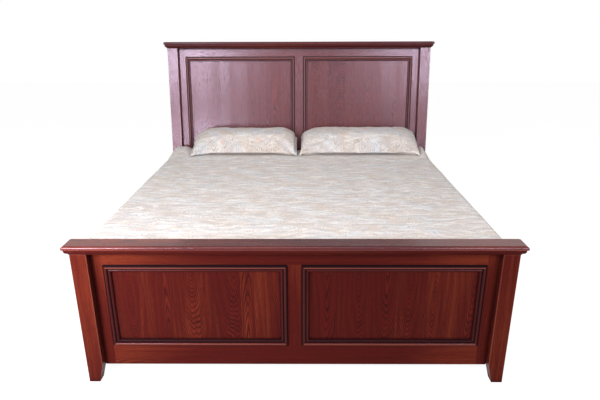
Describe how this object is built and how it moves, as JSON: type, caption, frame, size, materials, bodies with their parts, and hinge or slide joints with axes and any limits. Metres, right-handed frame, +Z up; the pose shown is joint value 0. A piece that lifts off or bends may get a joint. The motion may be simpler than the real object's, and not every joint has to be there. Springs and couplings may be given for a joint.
{
  "type": "panel bed",
  "caption": "Panel bed with a leaning headboard and a low footboard of framed panels under moulded caps, slats, a mattress in a fitted sheet and plump flanged pillows.",
  "frame": {"origin": "on the floor, midway between the sides and between the front of the foot cap and the back of the head cap", "axes": "+X to the right seen from the foot, +Y from the foot to the head, +Z up"},
  "size_m": [2.048, 2.3584, 1.4926],
  "materials": {
    "stained_oak": "dark red-brown stain under satin lacquer, darker glaze in the recesses",
    "plain_wood": "planed, unfinished",
    "bracket_steel": "zinc plated",
    "glide_plastic": "matte",
    "mattress_ticking": "woven ticking",
    "printed_cotton": "pale cotton with a muted print"
  },
  "bodies": {
    "bed_frame": {"centre_beam": "plain_wood", "centre_leg_1": "plain_wood", "centre_leg_2": "plain_wood", "centre_leg_3": "plain_wood", "foot_bottom_rail": "stained_oak", "foot_cap_board": "stained_oak", "foot_cap_rail": "stained_oak", "foot_centre_stile": "stained_oak", "foot_cove_moulding": "stained_oak", "foot_moulding_left": "stained_oak", "foot_moulding_right": "stained_oak", "foot_panel_left": "stained_oak", "foot_panel_right": "stained_oak", "foot_post_left": "stained_oak", "foot_post_right": "stained_oak", "foot_stile_left": "stained_oak", "foot_stile_right": "stained_oak", "foot_top_rail": "stained_oak", "head_bottom_rail": "stained_oak", "head_cap_board": "stained_oak", "head_cap_rail": "stained_oak", "head_centre_stile": "stained_oak", "head_cove_moulding": "stained_oak", "head_moulding_left": "stained_oak", "head_moulding_right": "stained_oak", "head_panel_left": "stained_oak", "head_panel_right": "stained_oak", "head_post_left": "stained_oak", "head_post_right": "stained_oak", "head_stile_left": "stained_oak", "head_stile_right": "stained_oak", "head_top_rail": "stained_oak", "leg_levellers": "bracket_steel", "post_glides": "glide_plastic", "rail_hook_plates": "bracket_steel", "rail_receiver_plates": "bracket_steel", "side_rail_left": "stained_oak", "side_rail_right": "stained_oak", "slat_1": "plain_wood", "slat_10": "plain_wood", "slat_2": "plain_wood", "slat_3": "plain_wood", "slat_4": "plain_wood", "slat_5": "plain_wood", "slat_6": "plain_wood", "slat_7": "plain_wood", "slat_8": "plain_wood", "slat_9": "plain_wood", "slat_ledger_left": "plain_wood", "slat_ledger_right": "plain_wood"},
    "mattress": {"mattress": "mattress_ticking", "fitted_sheet": "printed_cotton"},
    "pillow_left": {"pillow_left": "printed_cotton"},
    "pillow_right": {"pillow_right": "printed_cotton"}
  },
  "joints": [
    {"name": "mattress_lift", "type": "slide", "parent": "bed_frame", "child": "mattress", "axis": [0, 0, 1], "range_m": [0, 0.45]},
    {"name": "pillow_left_lift", "type": "slide", "parent": "mattress", "child": "pillow_left", "axis": [0, 0, 1], "range_m": [0, 0.3]},
    {"name": "pillow_right_lift", "type": "slide", "parent": "mattress", "child": "pillow_right", "axis": [0, 0, 1], "range_m": [0, 0.3]}
  ]
}
